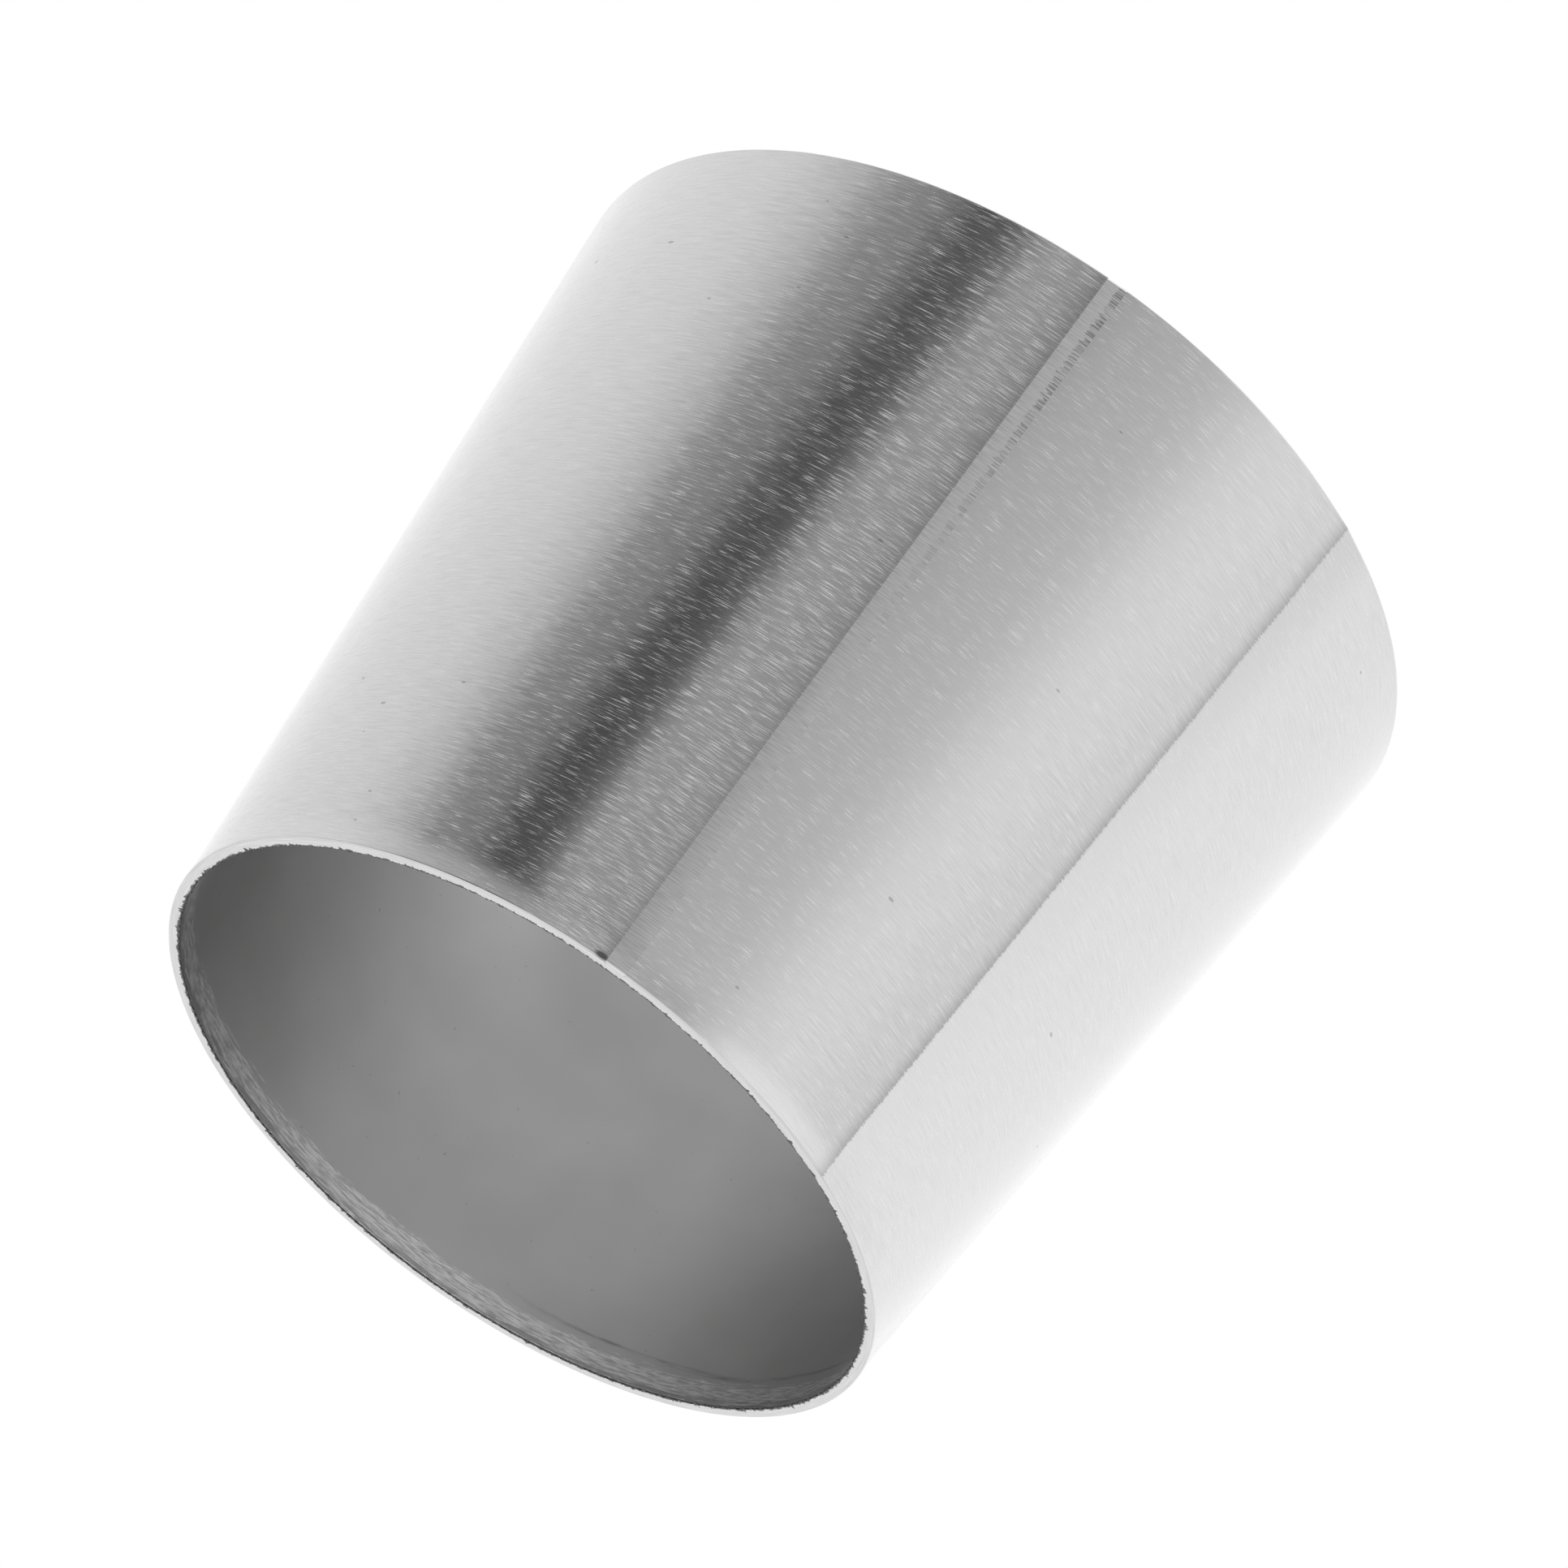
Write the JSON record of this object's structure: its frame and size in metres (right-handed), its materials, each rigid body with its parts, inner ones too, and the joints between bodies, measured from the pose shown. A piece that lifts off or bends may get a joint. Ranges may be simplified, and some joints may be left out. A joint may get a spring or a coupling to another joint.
{
  "type": "eccentric reducer",
  "caption": "Thin-walled eccentric reducer: an oblique cone of sheet metal with one lengthwise seam, joining two tube sizes along a level flat side.",
  "frame": {"origin": "centre of the large end's face, which is also the middle of the bottom of the object's box", "axes": "+Z along the flow from the large end to the small end; the flat side, parallel to the flow, faces -X; the weld runs up the steepest side at +X"},
  "size_m": [0.076, 0.076, 0.066],
  "materials": {
    "brushed_sheet": "brushed round the outside, dull mill finish inside",
    "weld_metal": "dressed flush outside, as welded inside"
  },
  "bodies": {
    "root": {"reducer_shell": "brushed_sheet", "seam_weld": "weld_metal"}
  },
  "joints": []
}
